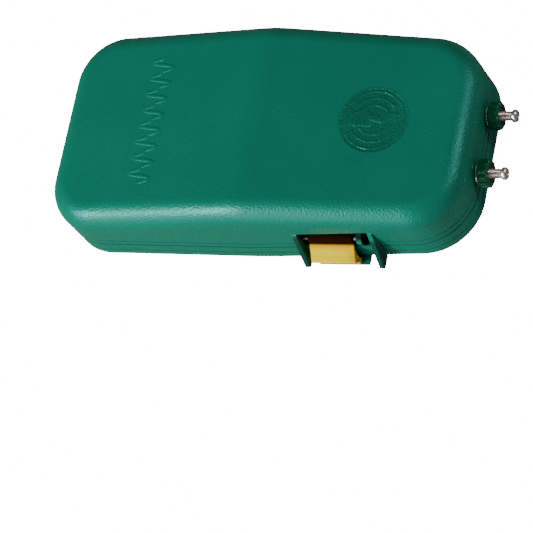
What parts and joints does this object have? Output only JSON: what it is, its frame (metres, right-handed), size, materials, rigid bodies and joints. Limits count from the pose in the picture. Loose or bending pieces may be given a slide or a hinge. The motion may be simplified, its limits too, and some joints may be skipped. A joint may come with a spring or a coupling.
{
  "type": "fence energizer",
  "caption": "Latched clamshell case with a ridged front, output studs with fluted knobs, dry cells and a pulse circuit for electrifying a livestock fence.",
  "frame": {"origin": "centre of the flat back face, on which the case lies", "axes": "+Z out through the ridged front, +X along the case towards the two output terminals, -Y towards the latch, +Y towards the hinge"},
  "size_m": [0.2461, 0.1266, 0.0485],
  "materials": {
    "case_green": "fine pebble-grained moulded plastic",
    "seal_rubber": "soft matt",
    "pin_steel": "zinc plated",
    "latch_yellow": "satin moulded",
    "stud_steel": "bright plated, threaded",
    "tinned_brass": "tinned",
    "wire_red": "flexible sleeve",
    "knob_green": "moulded, fluted",
    "cell_jacket": "printed sleeve",
    "holder_black": "moulded",
    "wire_black": "flexible sleeve",
    "board_green": "lacquered laminate",
    "core_iron": "laminated or pressed iron",
    "copper_wire": "lacquered winding",
    "capacitor_blue": "sleeved",
    "capacitor_black": "sleeved",
    "chip_black": "moulded",
    "sink_aluminium": "extruded",
    "resistor_tan": "lacquered",
    "slider_white": "moulded"
  },
  "bodies": {
    "back_case": {"back_case": "case_green", "gasket": "seal_rubber", "hinge_pins": "pin_steel"},
    "front_case": {"front_case": "case_green", "latch_pin": "pin_steel", "terminal_studs": "stud_steel", "stud_nuts": "stud_steel", "ring_lugs": "tinned_brass", "output_wires": "wire_red", "cells": "cell_jacket", "cell_holder": "holder_black", "cell_contacts": "tinned_brass", "cell_springs": "pin_steel", "battery_wires": "wire_black", "holder_screws": "pin_steel", "circuit_board": "board_green", "board_screws": "pin_steel", "pulse_core": "core_iron", "pulse_bobbin": "holder_black", "pulse_windings": "copper_wire", "storage_capacitor": "capacitor_blue", "inverter_core": "core_iron", "inverter_winding": "copper_wire", "electrolytic_capacitors": "capacitor_black", "thyristor": "chip_black", "heat_sink": "sink_aluminium", "control_chip": "chip_black", "resistors": "resistor_tan", "diodes": "chip_black", "switch_body": "holder_black"},
    "latch": {"latch": "latch_yellow"},
    "fence_washer": {"fence_washer": "stud_steel"},
    "fence_knob": {"fence_knob": "knob_green"},
    "earth_washer": {"earth_washer": "stud_steel"},
    "earth_knob": {"earth_knob": "knob_green"},
    "switch_slider": {"switch_slider": "slider_white"}
  },
  "joints": [
    {"name": "case_hinge", "type": "hinge", "parent": "back_case", "child": "front_case", "pos_m": [0, 0.0605, 0.01255], "axis": [-1, 0, 0], "range_deg": [0, 110]},
    {"name": "latch_hinge", "type": "hinge", "parent": "front_case", "child": "latch", "pos_m": [0, -0.0524, 0.0176], "axis": [-1, 0, 0], "range_deg": [0, 95]},
    {"name": "fence_knob_travel", "type": "slide", "parent": "front_case", "child": "fence_washer", "axis": [1, 0, 0], "range_m": [0, 0.0024]},
    {"name": "fence_knob_turn", "type": "hinge", "parent": "fence_washer", "child": "fence_knob", "pos_m": [0.12, -0.016, 0.018], "axis": [1, 0, 0], "range_deg": [0, 1082]},
    {"name": "earth_knob_travel", "type": "slide", "parent": "front_case", "child": "earth_washer", "axis": [1, 0, 0], "range_m": [0, 0.0024]},
    {"name": "earth_knob_turn", "type": "hinge", "parent": "earth_washer", "child": "earth_knob", "pos_m": [0.12, 0.016, 0.018], "axis": [1, 0, 0], "range_deg": [0, 1082]},
    {"name": "switch_slide", "type": "slide", "parent": "front_case", "child": "switch_slider", "axis": [0, 1, 0], "range_m": [0, 0.004]}
  ],
  "couplings": [
    {"joint": "fence_knob_turn", "follows": "fence_knob_travel", "rad_per_m": 7854},
    {"joint": "earth_knob_turn", "follows": "earth_knob_travel", "rad_per_m": 7854}
  ]
}
